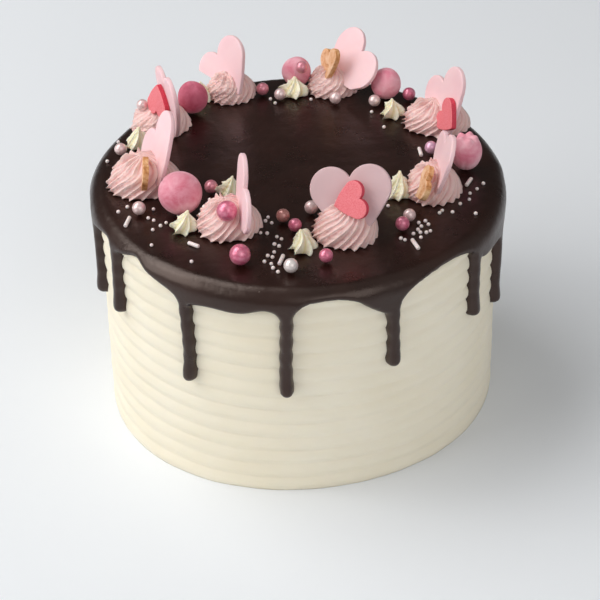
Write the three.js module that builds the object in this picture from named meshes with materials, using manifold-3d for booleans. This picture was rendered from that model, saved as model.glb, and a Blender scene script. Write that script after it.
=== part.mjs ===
// Layer cake: a combed cream cake with a dark ganache cap that runs down in drips, ringed by
// piped swirls, hearts, pink balls, stars, pearls and sprinkles.
// Millimetres, +Z up. The origin is the centre of the cake's flat base and -Y is its front.

import * as THREE from "three";
import { mergeVertices } from "three/addons/utils/BufferGeometryUtils.js";
import Module from "manifold-3d";

const wasm = await Module();
wasm.setup();

// Driving sizes of the cake and its ganache
const CAKE_RADIUS = 98;
const CAKE_HEIGHT = 120;
const GANACHE_RADIUS = 101.8;
const GANACHE_THICKNESS = 3;
const SHOULDER_RADIUS = 8.3;
const COMB_RIDGES = 13;
const COMB_DEPTH = 1.3;
const CREAM_SHOULDER = 7.8;
const CREAM_TOP = CAKE_HEIGHT - GANACHE_THICKNESS - 0.6;
const REST_GAP = 0.25;
const CUT_GAP = 0.3;

// Driving sizes of the toppings
const HEART_WIDTH = 38;
const HEART_THICKNESS = 2.2;
const SMALL_HEART_WIDTH = 17.5;
const SMALL_HEART_THICKNESS = 2.8;
const SWIRL_RIDGES = 12;
const SWIRL_TWIST = 75;
const STAR_RIDGES = 6;
const STAR_TWIST = 25;
const NONPAREIL_RADIUS = 0.95;
const ROD_RADIUS = 0.95;

// How finely the round forms are cut
const CAKE_COLUMNS = 32;
const GANACHE_STEP = 10;
const DRIP_FLANK = 2.6;
const HEART_ARC_STEPS = 6;
const SMALL_HEART_ARC_STEPS = 4;
const BALL_COLUMNS = 10;
const BALL_ROWS = 6;
const PEARL_COLUMNS = 8;
const PEARL_ROWS = 5;

// The lower edge of the ganache read round the cake, as degrees from +X and height in mm
const APRON_EDGE = [
  [0, 113.5], [5, 112.5], [10, 107.5], [14.5, 110.5], [20, 110.8], [26, 112], [32, 110],
  [37, 106], [41, 110.5], [48, 114], [56, 112], [61, 108.5], [66, 112.5], [74, 114.5],
  [82, 111.5], [88, 106.5], [92, 110], [99, 110.5], [106, 110.5], [113, 108], [118, 104],
  [123, 107.5], [131, 113], [139, 112.5], [145, 108], [149, 112], [157, 113.8], [165, 110.5],
  [172, 106], [178, 109.5], [186, 112.5], [191, 111], [194, 108], [199, 111], [204.3, 114],
  [207.5, 114.3], [210.4, 110.5], [215.5, 113.5], [218.5, 117], [221.5, 117], [226, 113],
  [230.3, 110.8], [234.3, 108.6], [236.5, 106], [238.4, 103.5], [242.5, 105.8], [247, 106.4],
  [252, 105.8], [255.5, 106.3], [258.6, 108.2], [261.3, 109.3], [263.8, 107.5], [266.1, 104.5],
  [269.3, 109], [271.5, 113.2], [275.3, 114.4], [280.5, 114.6], [284.4, 112.3], [288.5, 106.3],
  [292.3, 101.8], [295.2, 100.5], [298.3, 108.8], [301.5, 112.8], [306.4, 115.2], [312, 116.5],
  [317.5, 116.1], [321.4, 114], [325.7, 108], [328.5, 103.5], [334.6, 102.7], [339.5, 101],
  [344.4, 98.5], [347, 103], [352, 110.5],
];

// Each drip: where it runs in degrees from +X, and how low it ends
const DRIPS = [
  { at: 10, bottom: 76 },
  { at: 37, bottom: 66 },
  { at: 61, bottom: 80 },
  { at: 88, bottom: 70 },
  { at: 118, bottom: 61 },
  { at: 145, bottom: 78 },
  { at: 172, bottom: 67 },
  { at: 194, bottom: 69 },
  { at: 210.4, bottom: 75.2 },
  { at: 238.4, bottom: 60 },
  { at: 266.1, bottom: 60.8 },
  { at: 295.2, bottom: 70.6 },
  { at: 325.7, bottom: 73.4 },
  { at: 344.4, bottom: 59.8 },
];
const DRIP_NECK = 2.9;
const DRIP_BULB = 3.5;

// Each cluster's swirl, with its place, half widths, height and turn, and what is pushed into it.
// A plate's place is its middle; foot is its tip's height over the cake's top. A plate with a
// cut is cut off level at that height, deep in its cream.
const CLUSTERS = [
  {
    swirl: { x: -32.6, y: -46.0, wide: 16.3, deep: 15.4, high: 16, turn: 20 },
    heart: { x: -25.3, y: -50.6, foot: 1.8, turn: -81.5, lean: 6.2, roll: -32.2 },
  },
  {
    swirl: { x: 21.3, y: -53.0, wide: 16.8, deep: 15.8, high: 18, turn: 5 },
    heart: { x: 24.3, y: -53.0, foot: 0.8, turn: -19.7, lean: 26.2, roll: 13.2 },
    small: { x: 24.0, y: -57.4, foot: 13.6, turn: -34.0, lean: 23.5, roll: -60.0 },
  },
  {
    swirl: { x: 64.2, y: -18.9, wide: 15.0, deep: 14.8, high: 16, turn: 40 },
    heart: { x: 67.7, y: -19.8, foot: -2.3, cut: 6.7, turn: -90.5, lean: 14.6, roll: 25.0 },
    small: { x: 58.9, y: -28.1, foot: 2.7, turn: -86.5, lean: 24.4, roll: -34.0 },
  },
  {
    swirl: { x: 70.8, y: 44.5, wide: 18.8, deep: 14.8, high: 15, turn: -12 },
    heart: { x: 74.6, y: 39.7, foot: 0.6, turn: -70.5, lean: 15.5, roll: 39.8 },
    small: { x: 74.7, y: 28.7, foot: 4.9, turn: -71.3, lean: 15.4, roll: 77.9 },
  },
  {
    swirl: { x: 19.6, y: 83.6, wide: 14.8, deep: 13.2, high: 14, turn: 60 },
    heart: { x: 27.5, y: 82.2, foot: -0.2, cut: 6.8, turn: -58.3, lean: 37.0, roll: -21.5 },
    small: { x: 17.7, y: 81.1, foot: 8.8, turn: -71.2, lean: 18.8, roll: 25.7 },
  },
  {
    swirl: { x: -33.8, y: 79.5, wide: 13.8, deep: 13.2, high: 14.5, turn: 0 },
    heart: { x: -36.6, y: 81.1, foot: -2.1, cut: 5.9, turn: -51.4, lean: 16.3, roll: 48.4 },
  },
  {
    swirl: { x: -69.0, y: 46.8, wide: 16.2, deep: 15.2, high: 15, turn: 30 },
    heart: { x: -62.8, y: 36.8, foot: 0.8, turn: -71.7, lean: -5.3, roll: 8.5 },
    small: { x: -68.6, y: 39.6, foot: 11.1, turn: -57.0, lean: 9.0, roll: -173.0 },
  },
  {
    swirl: { x: -73.6, y: -9.6, wide: 19.2, deep: 14.8, high: 18.5, turn: 10 },
    heart: { x: -66.3, y: -5.9, foot: 3.6, turn: -72.3, lean: 20.8, roll: 55.8 },
    small: { x: -72.2, y: -18.9, foot: 3.0, turn: -85.8, lean: 8.3, roll: 3.7 },
  },
];

// Which of the small hearts are gold; the others are coral
const GOLD_CLUSTERS = [2, 4, 7];

// Pink balls with a low crest, by place, radius and height
const BALLS = [
  { x: -54.9, y: -33.7, radius: 10.5, high: 21.2, crest: 0.02 },
  { x: -52.7, y: 60.5, radius: 7.9, high: 17.6, crest: 0.14 },
  { x: 0.1, y: 87.4, radius: 7.8, high: 15.8, crest: 0.03 },
  { x: 46.6, y: 71.9, radius: 7.9, high: 16.4, crest: 0.08 },
  { x: 81.4, y: 0.5, radius: 7.7, high: 18.4, crest: 0.12 },
];

// Ivory star dollops, by place, radius, height, turn and the lean of the tip
const STARS = [
  { x: -53.4, y: -49.0, radius: 6.4, high: 9.5, turn: 10, tipX: 2.5, tipY: 2 },
  { x: 1.8, y: -65.4, radius: 8.2, high: 9, turn: 25, tipX: -1, tipY: 1.5 },
  { x: 47.2, y: -23.0, radius: 6.4, high: 12, turn: 0, tipX: 1, tipY: 3 },
  { x: 48.6, y: 53.6, radius: 6.6, high: 9, turn: 15, tipX: 0, tipY: 1 },
  { x: -1.2, y: 77.2, radius: 7.4, high: 9.5, turn: 5, tipX: 0.5, tipY: 2 },
  { x: -80.5, y: 27.2, radius: 6.6, high: 10, turn: 40, tipX: 2, tipY: 2 },
  { x: -33.0, y: -19.6, radius: 6.2, high: 10, turn: 20, tipX: 2, tipY: 1 },
  { x: -48.4, y: 74.4, radius: 6.0, high: 10, turn: 35, tipX: -1, tipY: 0 },
];

// Pearls by place, middle height over the cake's top, radius and finish
const PEARLS = [
  { x: -32.5, y: -54.5, up: 14, radius: 4.85, finish: "hot" },
  { x: -26.5, y: -76.7, up: 5.1, radius: 4.85, finish: "hot" },
  { x: -74.6, y: -34.4, up: 3.5, radius: 3.25, finish: "pale" },
  { x: -41.4, y: -16.8, up: 3.6, radius: 3.3, finish: "rose" },
  { x: -7.2, y: -43.1, up: 3.5, radius: 3.25, finish: "dusty" },
  { x: -1.7, y: -51.2, up: 3.5, radius: 3.2, finish: "hot" },
  { x: 6.0, y: -36.4, up: 3.5, radius: 3.25, finish: "pale" },
  { x: -3.8, y: -83.9, up: 3.6, radius: 3.35, finish: "white" },
  { x: 12.0, y: -76.4, up: 3.5, radius: 3.25, finish: "hot" },
  { x: 51.4, y: -44.3, up: 3.3, radius: 3.0, finish: "pale" },
  { x: 47.7, y: -51.8, up: 3.6, radius: 3.35, finish: "hot" },
  { x: 20.2, y: 67.0, up: 3.4, radius: 3.1, finish: "pale" },
  { x: 40.2, y: 63.6, up: 3.4, radius: 3.1, finish: "pale" },
  { x: -8.4, y: 72.0, up: 3.4, radius: 3.1, finish: "pale" },
  { x: 3.1, y: 78.6, up: 15.4, radius: 3.2, finish: "rose" },
  { x: -77.5, y: 46.3, up: 13.0, radius: 3.0, finish: "pale" },
  { x: -87.2, y: 19.7, up: 3.4, radius: 3.1, finish: "pale" },
  { x: 65.8, y: 15.6, up: 3.5, radius: 3.2, finish: "lilac" },
  { x: -17.5, y: 77.8, up: 3.6, radius: 3.3, finish: "rose" },
  { x: 58.3, y: 69.3, up: 3.7, radius: 3.4, finish: "hot" },
];

// White nonpareils on the ganache, as x and y in mm
const NONPAREILS = [
  // right of the front
  [52.6, -55.6], [55.6, -46.6], [56.6, -49.6], [54.9, -52.3], [55.8, -54.6], [58.6, -54.7],
  [60.5, -53.6], [55.8, -58.7], [58.8, -45.2], [60.0, -48.1], [46.6, -59.2], [48.4, -60.5],
  [65.9, -38.5], [67.3, -36.6], [72.0, -38.0], [76.2, -31.0], [80.8, -27.4], [81.6, -22.1],
  [85.3, -18.3], [88.8, -13.5], [82.7, -39.6], [42.2, -31.7], [44.0, 41.6],
  // front
  [-14.2, -39.6], [-15.4, -42.6], [-12.5, -44.4], [-17.6, -52.5], [-14.6, -53.0], [-10.1, -56.0],
  [-8.0, -57.9], [-11.2, -62.0], [-9.1, -63.6], [-11.3, -68.4], [-14.2, -71.2], [-12.1, -72.4],
  [-15.7, -75.8], [-12.6, -77.7], [-11.8, -80.9], [-9.6, -84.0],
  // left
  [-84.6, -32.5], [-80.6, -28.4], [-68.2, -30.8], [-70.2, -38.3], [-67.5, -40.4], [-67.5, -48.3],
  [-67.3, -60.9], [-48.5, -74.7], [-64.1, -45.0], [-61.6, -42.6], [-93.5, 13.4], [-89.5, 31.9],
  // back
  [38.5, 57.2], [-13.4, 72.6], [-11.0, 68.2], [7.6, 71.4], [59.0, 61.0], [-62.6, 66.4],
];

// White rods on the ganache: each end's x and y in mm
const RODS = [
  [51.6, -60.8, 54.1, -68.4],
  [-7.2, -71.6, -9.0, -78.6],
  [-78.9, -37.8, -80.4, -45.4],
  [-50.6, -60.0, -45.6, -63.4],
  [83.4, -9.4, 80.4, -15.6],
  [60.3, 19.8, 60.9, 12.6],
  [-57.6, 68.6, -61.8, 73.4],
];

// Sprinkles caught on the first swirl and on the sixth, as x, y and height over the cake's top
const SWIRL_SPRINKLES = {
  0: [[-43.6, -43.4, 9.4], [-45.2, -46.8, 7.4], [-41.0, -39.2, 10.6], [-38.6, -42.2, 12.2]],
  5: [[-42.8, 81.2, 8.2], [-40.6, 84.4, 8.6]],
};

// Materials, with the colours that the photograph shows
const paint = (colour, roughness) =>
  new THREE.MeshStandardMaterial({ color: colour, roughness, metalness: 0 });
const PEARL_COLOURS = {
  hot: 0xeb6b9b,
  rose: 0xe08a9c,
  pale: 0xe1c8c8,
  dusty: 0xbe827d,
  white: 0xe2d8d4,
  lilac: 0xe0a8c4,
};

// Turns geometry into a closed solid with shared corners, and back.
function solidOf(geometry) {
  const bare = geometry.clone();
  bare.deleteAttribute("normal");
  bare.deleteAttribute("uv");
  const merged = mergeVertices(bare, 1e-4);
  const mesh = new wasm.Mesh({
    numProp: 3,
    vertProperties: new Float32Array(merged.attributes.position.array),
    triVerts: new Uint32Array(merged.index.array),
  });
  return new wasm.Manifold(mesh);
}

function geometryOf(solid) {
  const mesh = solid.getMesh();
  const geometry = new THREE.BufferGeometry();
  geometry.setAttribute("position", new THREE.BufferAttribute(mesh.vertProperties, 3));
  geometry.setIndex(new THREE.BufferAttribute(mesh.triVerts, 1));
  geometry.computeVertexNormals();
  return geometry;
}

// A closed skin wrapped round the Z axis: place(angle, row, column) gives each corner, and the
// rows run from the top on the axis, down the outside and back to the axis.
function wrap(columns, rows, place) {
  const geometry = new THREE.PlaneGeometry(1, 1, columns, rows);
  const position = geometry.attributes.position;
  for (let i = 0; i < position.count; i += 1) {
    const column = (i % (columns + 1)) % columns;
    const row = Math.floor(i / (columns + 1));
    const corner = place((column / columns) * 2 * Math.PI, row, column);
    position.setXYZ(i, corner.x, corner.y, corner.z);
  }
  return geometry;
}

const radians = THREE.MathUtils.degToRad;

// How far the cream's wall swells or shrinks at an angle: the base isn't quite round.
function unevenness(angle) {
  const second = 0.0055 * Math.cos(2 * angle) + 0.0122 * Math.sin(2 * angle);
  const third = 0.0071 * Math.cos(3 * angle) - 0.0147 * Math.sin(3 * angle);
  return second + third;
}

// The cream: combed rings up the wall, a soft shoulder and a flat top under the ganache.
function creamProfile() {
  const profile = [new THREE.Vector2(0, CREAM_TOP)];
  const shoulderSteps = 4;
  const wallTop = CREAM_TOP - CREAM_SHOULDER;
  for (let i = 0; i <= shoulderSteps; i += 1) {
    const turn = ((i / shoulderSteps) * Math.PI) / 2;
    const radius = CAKE_RADIUS - CREAM_SHOULDER + CREAM_SHOULDER * Math.sin(turn);
    profile.push(new THREE.Vector2(radius, wallTop + CREAM_SHOULDER * Math.cos(turn)));
  }
  const pitch = wallTop / COMB_RIDGES;
  for (let i = COMB_RIDGES - 1; i >= 0; i -= 1) {
    const ridge = (i + 0.5) * pitch;
    const groove = i * pitch;
    profile.push(new THREE.Vector2(CAKE_RADIUS - COMB_DEPTH, ridge + pitch / 2 - 1.2));
    profile.push(new THREE.Vector2(CAKE_RADIUS, ridge - 1));
    if (i === 0) profile.push(new THREE.Vector2(CAKE_RADIUS - COMB_DEPTH / 2, groove));
  }
  profile.push(new THREE.Vector2(0, 0));
  return profile;
}

function cakeBody() {
  const profile = creamProfile();
  return wrap(CAKE_COLUMNS, profile.length - 1, (angle, row) => {
    const { x: radius, y: z } = profile[row];
    const low = Math.max(0, 1 - z / 70);
    const reach = radius * (1 + low * unevenness(angle));
    return new THREE.Vector3(reach * Math.cos(angle), reach * Math.sin(angle), z);
  });
}

// Height of the apron's lower edge at an angle in degrees, straight between the read places.
function apronEdge(degrees) {
  const next = APRON_EDGE.findIndex(([at]) => at > degrees);
  const [startAt, startHeight] = APRON_EDGE.at(next === -1 ? -1 : next - 1);
  const [endAt, endHeight] = next === -1 ? [360, APRON_EDGE[0][1]] : APRON_EDGE[next];
  return THREE.MathUtils.mapLinear(degrees, startAt, endAt, startHeight, endHeight);
}

// The cap's outer line from the middle of the top over the shoulder and down to a height,
// as radius and height; inset moves it inwards for the underside.
function capLine(share, edge, inset) {
  const flat = GANACHE_RADIUS - SHOULDER_RADIUS;
  const bend = SHOULDER_RADIUS - inset;
  const centre = CAKE_HEIGHT - SHOULDER_RADIUS;
  const quarter = (SHOULDER_RADIUS * Math.PI) / 2;
  const below = centre - edge;
  const tilt = Math.asin(THREE.MathUtils.clamp(-below / SHOULDER_RADIUS, 0, 1));
  const length = below > 0 ? quarter + below : quarter - SHOULDER_RADIUS * tilt;
  const along = share * length;
  if (along <= quarter) {
    const turn = along / SHOULDER_RADIUS;
    return new THREE.Vector2(flat + bend * Math.sin(turn), centre + bend * Math.cos(turn));
  }
  return new THREE.Vector2(flat + bend, centre - (along - quarter));
}

// The cap's columns: one at each drip, one to either side of it, and even steps between.
function capAngles() {
  const fixed = [];
  for (const { at } of DRIPS) fixed.push(at - DRIP_FLANK, at, at + DRIP_FLANK);
  fixed.sort((a, b) => a - b);
  const angles = [];
  fixed.forEach((start, index) => {
    const end = index + 1 < fixed.length ? fixed[index + 1] : fixed[0] + 360;
    const steps = Math.ceil((end - start) / GANACHE_STEP);
    for (let i = 0; i < steps; i += 1) angles.push((start + ((end - start) * i) / steps) % 360);
  });
  return angles;
}

// The cap itself: flat rings on top, then the shoulder and skirt, a blunt lip and the underside.
function ganacheCap() {
  const flat = GANACHE_RADIUS - SHOULDER_RADIUS;
  const outerShares = [0, 0.3, 0.65, 1];
  const innerShares = [1, 0.66, 0.33, 0];
  const top = [0];
  const rows = top.length + outerShares.length + 1 + innerShares.length + 1;
  const angles = capAngles();
  return wrap(angles.length, rows - 1, (evenAngle, row, column) => {
    const angle = radians(angles[column]);
    const edge = apronEdge(angles[column]);
    let point;
    if (row < top.length) {
      point = new THREE.Vector2(top[row], CAKE_HEIGHT);
    } else if (row < top.length + outerShares.length) {
      point = capLine(outerShares[row - top.length], edge + 0.8, 0);
    } else if (row === top.length + outerShares.length) {
      point = capLine(1, edge, GANACHE_THICKNESS * 0.45);
    } else if (row < rows - 1) {
      const share = innerShares[row - top.length - outerShares.length - 1];
      point = capLine(share, edge + 0.5, GANACHE_THICKNESS);
    } else {
      point = new THREE.Vector2(0, CAKE_HEIGHT - GANACHE_THICKNESS);
    }
    return new THREE.Vector3(point.x * Math.cos(angle), point.x * Math.sin(angle), point.y);
  });
}

// One drip: a D-shaped run with its flat back on the cream, a slim neck and a fuller end.
function dripSolid(drip) {
  const root = apronEdge(drip.at);
  const stations = [
    { z: root + 4, half: DRIP_NECK + 0.6, deep: 1.7 },
    { z: root - 1, half: DRIP_NECK + 0.7, deep: 2.4 },
    { z: drip.bottom + 9, half: DRIP_NECK, deep: 2.4 },
    { z: drip.bottom + 4, half: DRIP_BULB, deep: 3.6 },
    { z: drip.bottom + 1.2, half: DRIP_BULB * 0.75, deep: 3.0 },
    { z: drip.bottom, half: DRIP_BULB * 0.25, deep: 1.4 },
  ];
  const back = GANACHE_RADIUS - GANACHE_THICKNESS + 0.15;
  const around = [-1, -0.8, -0.3, 0.3, 0.8, 1];
  const columns = around.length;
  const turn = radians(drip.at);
  const place = (angle, row, column) => {
    const capped = THREE.MathUtils.clamp(row - 1, 0, stations.length - 1);
    const { z, half, deep } = stations[capped];
    const side = around[column];
    const closed = row === 0 || row === stations.length + 1;
    const across = closed ? 0 : half * side;
    const out = closed ? deep * 0.5 : deep * Math.sqrt(Math.max(0, 1 - side * side));
    const reach = back + out;
    const x = reach * Math.cos(turn) - across * Math.sin(turn);
    const y = reach * Math.sin(turn) + across * Math.cos(turn);
    return new THREE.Vector3(x, y, z);
  };
  return solidOf(wrap(columns, stations.length + 1, place));
}

// The cap's height at a distance from its middle.
function capHeight(distance) {
  const beyond = distance - (GANACHE_RADIUS - SHOULDER_RADIUS);
  if (beyond <= 0) return CAKE_HEIGHT;
  const fall = Math.sqrt(SHOULDER_RADIUS ** 2 - beyond ** 2);
  return CAKE_HEIGHT - SHOULDER_RADIUS + fall;
}

function nonpareil(x, y, z) {
  return solidOf(new THREE.IcosahedronGeometry(NONPAREIL_RADIUS, 0).translate(x, y, z));
}

function rod([x1, y1, x2, y2]) {
  const length = Math.hypot(x2 - x1, y2 - y1);
  const geometry = new THREE.CylinderGeometry(ROD_RADIUS, ROD_RADIUS, length, 6);
  geometry.rotateZ(Math.atan2(y2 - y1, x2 - x1) - Math.PI / 2);
  geometry.translate((x1 + x2) / 2, (y1 + y2) / 2, CAKE_HEIGHT + ROD_RADIUS * 0.55);
  return solidOf(geometry);
}

function ganache() {
  let whole = solidOf(ganacheCap());
  for (const drip of DRIPS) whole = whole.add(dripSolid(drip));
  for (const [x, y] of NONPAREILS) {
    const z = capHeight(Math.hypot(x, y)) + NONPAREIL_RADIUS * 0.45;
    whole = whole.add(nonpareil(x, y, z));
  }
  for (const ends of RODS) whole = whole.add(rod(ends));
  return whole;
}

// A heart's outline from its tip round: two round lobes, and sides a little convex to the tip.
function heartOutline(width, arcSteps) {
  const lobeX = 0.238 * width;
  const lobeY = 0.655 * width;
  const lobe = 0.268 * width;
  const reach = Math.hypot(lobeX, lobeY);
  const side = Math.sqrt(reach * reach - lobe * lobe);
  const lean = Math.atan2(lobeY, lobeX) - Math.atan2(lobe, side);
  const touch = new THREE.Vector2(side * Math.cos(lean), side * Math.sin(lean));
  const bulge = 0.03 * width;
  const start = Math.atan2(touch.y - lobeY, touch.x - lobeX);
  const notch = Math.acos(-lobeX / lobe);
  const middle = new THREE.Vector2(touch.y, -touch.x).multiplyScalar(bulge / side);
  middle.addScaledVector(touch, 0.5);
  const right = [middle];
  for (let i = 0; i <= arcSteps; i += 1) {
    const angle = start + ((notch - start) * i) / arcSteps;
    right.push(new THREE.Vector2(lobeX + lobe * Math.cos(angle), lobeY + lobe * Math.sin(angle)));
  }
  const left = right.slice(0, -1).reverse();
  const mirrored = left.map((point) => new THREE.Vector2(-point.x, point.y));
  return [new THREE.Vector2(0, 0), ...right, ...mirrored];
}

// A heart plate stood up in its cluster. Its width runs along the turn, it leans back from its
// face, it is rolled in its own plane, and its lowest point is foot above the cake's top.
// What would reach below a plate's cut is taken off.
function heartPlate(pose, width, thickness, arcSteps, grow) {
  const outline = heartOutline(width, arcSteps);
  const middle = new THREE.Vector2(0, 0.5 * width);
  const scale = 1 + (2.6 * grow) / width;
  const grown = outline.map((point) => point.clone().sub(middle).multiplyScalar(scale));
  const geometry = new THREE.ExtrudeGeometry(new THREE.Shape(grown), {
    depth: thickness + 2 * grow,
    bevelEnabled: false,
  });
  geometry.translate(0, 0, -thickness / 2 - grow);
  const turn = radians(pose.turn);
  const lean = radians(pose.lean);
  const roll = radians(pose.roll);
  const along = new THREE.Vector3(Math.cos(turn), Math.sin(turn), 0);
  const face = new THREE.Vector3(Math.sin(turn), -Math.cos(turn), 0);
  const up = new THREE.Vector3(0, 0, Math.cos(lean)).addScaledVector(face, -Math.sin(lean));
  const normal = new THREE.Vector3().crossVectors(along, up);
  const across = along.clone().multiplyScalar(Math.cos(roll)).addScaledVector(up, Math.sin(roll));
  const rise = up.clone().multiplyScalar(Math.cos(roll)).addScaledVector(along, -Math.sin(roll));
  let lowest = Infinity;
  for (const point of outline) {
    lowest = Math.min(lowest, point.x * across.z + (point.y - middle.y) * rise.z);
  }
  const centre = new THREE.Vector3(pose.x, pose.y, CAKE_HEIGHT + pose.foot - lowest);
  geometry.applyMatrix4(new THREE.Matrix4().makeBasis(across, rise, normal).setPosition(centre));
  const plate = solidOf(geometry);
  if (pose.cut === undefined) return plate;
  const block = new THREE.BoxGeometry(3 * width, 3 * width, width);
  block.translate(pose.x, pose.y, CAKE_HEIGHT + pose.cut - grow - width / 2);
  return plate.subtract(solidOf(block));
}

const largeHeart = (pose, grow = 0) =>
  heartPlate(pose, HEART_WIDTH, HEART_THICKNESS, HEART_ARC_STEPS, grow);
const smallHeart = (pose, grow = 0) =>
  heartPlate(pose, SMALL_HEART_WIDTH, SMALL_HEART_THICKNESS, SMALL_HEART_ARC_STEPS, grow);

// A piped mound with twisted ridges, before anything is pushed into it.
function swirlSolid({ x, y, wide, deep, high, turn }) {
  const profile = [
    [0, 1],
    [0.34, 0.94],
    [0.73, 0.73],
    [0.96, 0.4],
    [1, 0],
    [0, 0],
  ];
  const geometry = wrap(2 * SWIRL_RIDGES, profile.length - 1, (angle, row, column) => {
    const [reach, rise] = profile[row];
    const ridge = column % 2 === 0 ? 1 : 0.88;
    const twisted = angle + radians(SWIRL_TWIST * rise + turn);
    const px = x + wide * reach * ridge * Math.cos(twisted);
    const py = y + deep * reach * ridge * Math.sin(twisted);
    return new THREE.Vector3(px, py, CAKE_HEIGHT + REST_GAP + high * rise);
  });
  return solidOf(geometry);
}

// A star dollop: six ridges drawn up to a leaning tip.
function starSolid({ x, y, radius, high, turn, tipX, tipY }, grow = 0) {
  const profile = [
    [0, 1],
    [0.4, 0.7],
    [0.98, 0.2],
    [0.94, 0],
    [0, 0],
  ];
  const geometry = wrap(2 * STAR_RIDGES, profile.length - 1, (angle, row, column) => {
    const [reach, rise] = profile[row];
    const ridge = column % 2 === 0 ? 1.1 : 0.78;
    const twisted = angle + radians(STAR_TWIST * rise + turn);
    const out = (radius + grow * 1.3) * reach * ridge;
    const px = x + tipX * rise * rise + out * Math.cos(twisted);
    const py = y + tipY * rise * rise + out * Math.sin(twisted);
    const pz = CAKE_HEIGHT + REST_GAP + (high + 2 * grow) * rise - (rise === 0 ? grow : 0);
    return new THREE.Vector3(px, py, pz);
  });
  return solidOf(geometry);
}

// A pink ball, a little lumpy, with a crest on top.
function ballSolid({ x, y, radius, high, crest }, grow = 0) {
  const middle = CAKE_HEIGHT + REST_GAP + high / 2;
  const geometry = wrap(BALL_COLUMNS, BALL_ROWS, (angle, row) => {
    const fall = (row / BALL_ROWS) * Math.PI;
    const lump = 1 + 0.02 * Math.cos(3 * angle + x) * Math.sin(fall);
    const peak = 1 + crest * Math.exp(-(fall * fall) / 0.15) - crest * 0.5;
    const out = (radius + grow) * Math.sin(fall) * lump;
    const px = x + out * Math.cos(angle);
    const py = y + out * Math.sin(angle);
    const up = (high / 2 + grow) * Math.cos(fall) * (row < BALL_ROWS / 2 ? peak : 1);
    return new THREE.Vector3(px, py, middle + up);
  });
  return solidOf(geometry);
}

function pearlSolid({ x, y, up, radius }, grow = 0) {
  const geometry = wrap(PEARL_COLUMNS, PEARL_ROWS, (angle, row) => {
    const fall = (row / PEARL_ROWS) * Math.PI;
    const out = (radius + grow) * Math.sin(fall);
    const z = CAKE_HEIGHT + up + (radius + grow) * Math.cos(fall);
    return new THREE.Vector3(x + out * Math.cos(angle), y + out * Math.sin(angle), z);
  });
  return solidOf(geometry);
}

// Everything that is pushed into or pressed against the cream, a gap larger all round.
function pressedPieces() {
  const pieces = [];
  for (const cluster of CLUSTERS) {
    pieces.push(largeHeart(cluster.heart, CUT_GAP));
    if (cluster.small) pieces.push(smallHeart(cluster.small, CUT_GAP));
  }
  for (const ball of BALLS) pieces.push(ballSolid(ball, CUT_GAP));
  for (const pearl of PEARLS) pieces.push(pearlSolid(pearl, CUT_GAP));
  return pieces;
}

// Takes away from a piece whatever of the others reaches into it.
function cutAway(piece, others) {
  let left = piece;
  for (const other of others) {
    if (left.intersect(other).volume() > 1e-6) left = left.subtract(other);
  }
  const bodies = left.decompose();
  bodies.sort((a, b) => b.volume() - a.volume());
  return bodies[0];
}

// The whole cake
const cake = new THREE.Group();
cake.name = "layer_cake";

function addPiece(name, solidOrGeometry, material) {
  const isSolid = typeof solidOrGeometry.getMesh === "function";
  const geometry = isSolid ? geometryOf(solidOrGeometry) : solidOrGeometry;
  const mesh = new THREE.Mesh(geometry, material);
  mesh.name = name;
  cake.add(mesh);
}

const pressed = pressedPieces();
const grownStars = STARS.map((star) => starSolid(star, CUT_GAP));

addPiece("cake_body", cakeBody(), paint(0xece8d7, 0.6));
addPiece("ganache", ganache(), paint(0x2d1c18, 0.3));

CLUSTERS.forEach((cluster, index) => {
  let swirl = swirlSolid(cluster.swirl);
  for (const [x, y, up] of SWIRL_SPRINKLES[index] ?? []) {
    swirl = swirl.add(nonpareil(x, y, CAKE_HEIGHT + up));
  }
  const cream = paint(0xebc8c3, 0.6);
  addPiece(`swirl_${index + 1}`, cutAway(swirl, [...pressed, ...grownStars]), cream);
  addPiece(`fondant_heart_${index + 1}`, largeHeart(cluster.heart), paint(0xf7cdd7, 0.55));
});

CLUSTERS.forEach((cluster, index) => {
  if (!cluster.small) return;
  const gold = GOLD_CLUSTERS.includes(index);
  const name = `${gold ? "gold" : "coral"}_heart_${index + 1}`;
  addPiece(name, smallHeart(cluster.small), paint(gold ? 0xd89a55 : 0xf06e78, 0.5));
});

BALLS.forEach((ball, index) => {
  addPiece(`pink_ball_${index + 1}`, ballSolid(ball), paint(0xe16e96, 0.7));
});

STARS.forEach((star, index) => {
  addPiece(`star_${index + 1}`, cutAway(starSolid(star), pressed), paint(0xebe8c3, 0.55));
});

PEARLS.forEach((pearl, index) => {
  const finish = paint(PEARL_COLOURS[pearl.finish], 0.3);
  addPiece(`pearl_${index + 1}`, pearlSolid(pearl), finish);
});

export default cake;
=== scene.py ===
import math
import random

import bmesh
import bpy
import numpy as np
from mathutils import Matrix, Vector, noise


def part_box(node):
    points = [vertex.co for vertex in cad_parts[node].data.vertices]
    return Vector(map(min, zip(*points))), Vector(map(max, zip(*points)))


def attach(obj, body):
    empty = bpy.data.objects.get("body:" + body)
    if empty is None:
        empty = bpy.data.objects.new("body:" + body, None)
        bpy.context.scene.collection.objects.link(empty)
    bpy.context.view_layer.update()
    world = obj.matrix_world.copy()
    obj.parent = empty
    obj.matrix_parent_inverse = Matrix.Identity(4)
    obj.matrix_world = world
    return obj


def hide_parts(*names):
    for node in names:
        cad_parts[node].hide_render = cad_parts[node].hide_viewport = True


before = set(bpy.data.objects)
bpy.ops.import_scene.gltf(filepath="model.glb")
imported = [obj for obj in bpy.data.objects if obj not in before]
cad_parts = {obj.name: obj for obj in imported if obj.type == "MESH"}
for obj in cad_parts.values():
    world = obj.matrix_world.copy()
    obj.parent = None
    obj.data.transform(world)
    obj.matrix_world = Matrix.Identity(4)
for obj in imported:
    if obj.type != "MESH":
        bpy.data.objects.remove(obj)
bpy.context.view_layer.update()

MM = 0.001

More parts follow.
